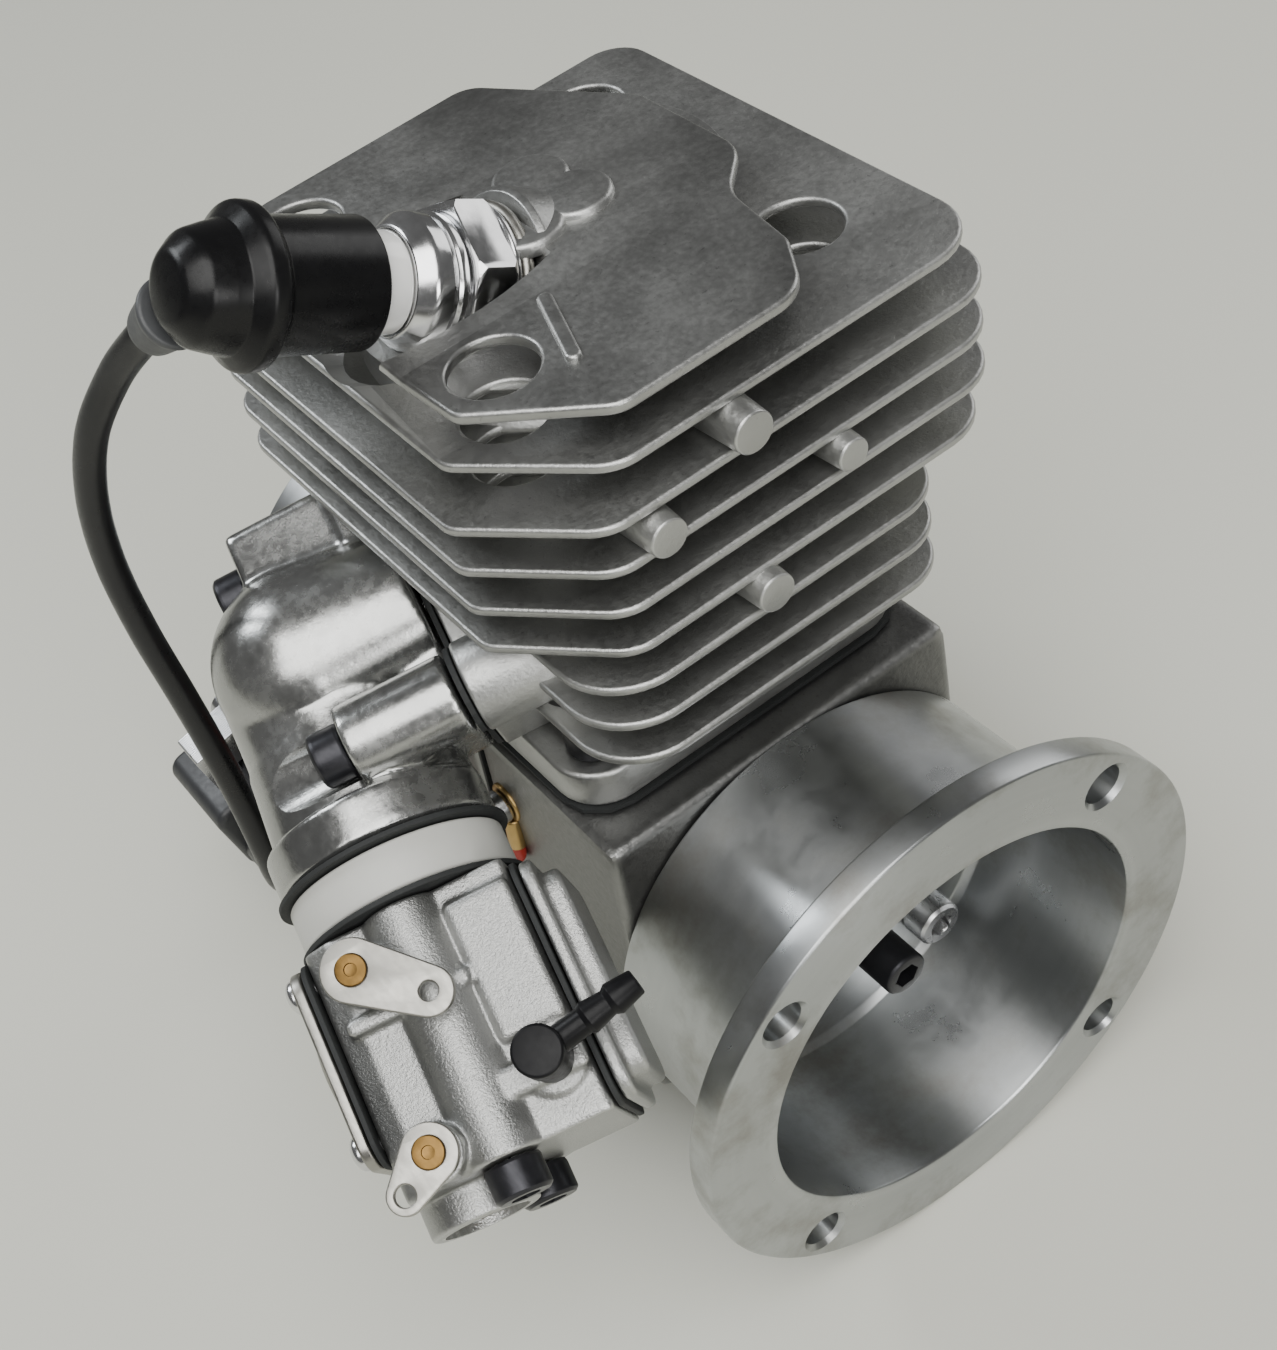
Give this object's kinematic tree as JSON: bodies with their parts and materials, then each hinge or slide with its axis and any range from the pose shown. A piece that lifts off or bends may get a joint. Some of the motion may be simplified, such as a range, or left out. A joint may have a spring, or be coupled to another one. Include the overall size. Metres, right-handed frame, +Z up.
{
  "type": "single-cylinder two-stroke model engine",
  "caption": "Single-cylinder two-stroke model engine with finned cylinder, round mount tube, flywheel ignition and a side diaphragm carburettor on a swept intake elbow.",
  "frame": {"origin": "centre of the bounding box, on its bottom face", "axes": "+Z up along the cylinder, -Y out of the mount tube's flange along the crankshaft, +X out of the exhaust port"},
  "size_m": [0.137, 0.1544, 0.1857],
  "materials": {
    "cast_alloy": "satin cast",
    "polished_alloy": "polished casting",
    "machined_alloy": "turned",
    "case_alloy": "satin cast",
    "carb_alloy": "granular die casting",
    "steel": "ground",
    "plated": "bright plated",
    "black_steel": "black oxide",
    "brass": "dull brass",
    "rubber": "glossy moulded",
    "gasket_paper": "matt fibre",
    "ceramic": "glazed",
    "insulator": "satin moulded",
    "black_plastic": "moulded",
    "epoxy": "potted"
  },
  "bodies": {
    "engine": {"cylinder": "cast_alloy", "base_gasket": "gasket_paper", "base_bolt_1": "black_steel", "base_bolt_2": "black_steel", "base_bolt_3": "black_steel", "base_bolt_4": "black_steel", "crankcase_front": "case_alloy", "crankcase_rear": "case_alloy", "case_gasket": "gasket_paper", "main_bearing_front": "steel", "main_bearing_rear": "steel", "oil_seal_front": "rubber", "oil_seal_rear": "rubber", "ignition_coil": "epoxy", "coil_screw_1": "steel", "coil_screw_2": "steel", "ht_lead": "rubber", "plug_cap": "rubber", "lead_sleeve": "rubber", "plug_shell": "plated", "plug_insulator": "ceramic", "plug_gasket": "steel", "intake_elbow": "polished_alloy", "elbow_gasket": "gasket_paper", "elbow_bolt_rear": "black_steel", "elbow_bolt_front": "black_steel", "insulator_block": "insulator", "insulator_gasket_1": "gasket_paper", "insulator_gasket_2": "gasket_paper", "carburettor_body": "carb_alloy", "metering_gasket": "gasket_paper", "metering_cover": "plated", "pump_gasket": "gasket_paper", "pump_cover": "carb_alloy", "fuel_elbow": "black_plastic", "carb_bolt_upper": "black_steel", "carb_bolt_lower": "black_steel", "mount_tube": "machined_alloy", "mount_screw_1": "steel", "mount_screw_2": "steel", "mount_screw_3": "steel", "mount_screw_4": "steel"},
    "crank": {"crankshaft_front": "steel", "crankshaft_rear": "steel", "flywheel": "machined_alloy", "flywheel_nut": "steel", "output_stud": "black_steel"},
    "piston": {"piston": "polished_alloy", "piston_ring_1": "steel", "piston_ring_2": "steel", "gudgeon_pin": "steel"},
    "rod": {"connecting_rod": "steel", "big_end_bearing": "brass", "crankpin": "steel"},
    "throttle": {"throttle_shaft": "brass", "throttle_lever": "plated", "throttle_plate": "brass"},
    "choke": {"choke_shaft": "brass", "choke_lever": "plated", "choke_plate": "brass"}
  },
  "joints": [
    {"name": "crank_spin", "type": "hinge", "parent": "engine", "child": "crank", "pos_m": [0.02052, -0.0048, 0.048], "axis": [0, 1, 0], "continuous": true},
    {"name": "piston_slide", "type": "slide", "parent": "engine", "child": "piston", "axis": [0, 0, 1], "range_m": [-0.031, 0]},
    {"name": "rod_swing", "type": "hinge", "parent": "piston", "child": "rod", "pos_m": [0.02052, -0.0048, 0.1235], "axis": [0, 1, 0], "range_deg": [-15, 15]},
    {"name": "throttle_turn", "type": "hinge", "parent": "engine", "child": "throttle", "pos_m": [-0.04901, -0.036, 0.08227], "axis": [0.2692, 0.3618, -0.8925], "range_deg": [0, 75], "stiffness_Nm_per_rad": 0.02, "springref_deg": -22.92},
    {"name": "choke_turn", "type": "hinge", "parent": "engine", "child": "choke", "pos_m": [-0.05489, -0.05957, 0.07094], "axis": [0.2692, 0.3618, -0.8925], "range_deg": [0, 75]}
  ]
}
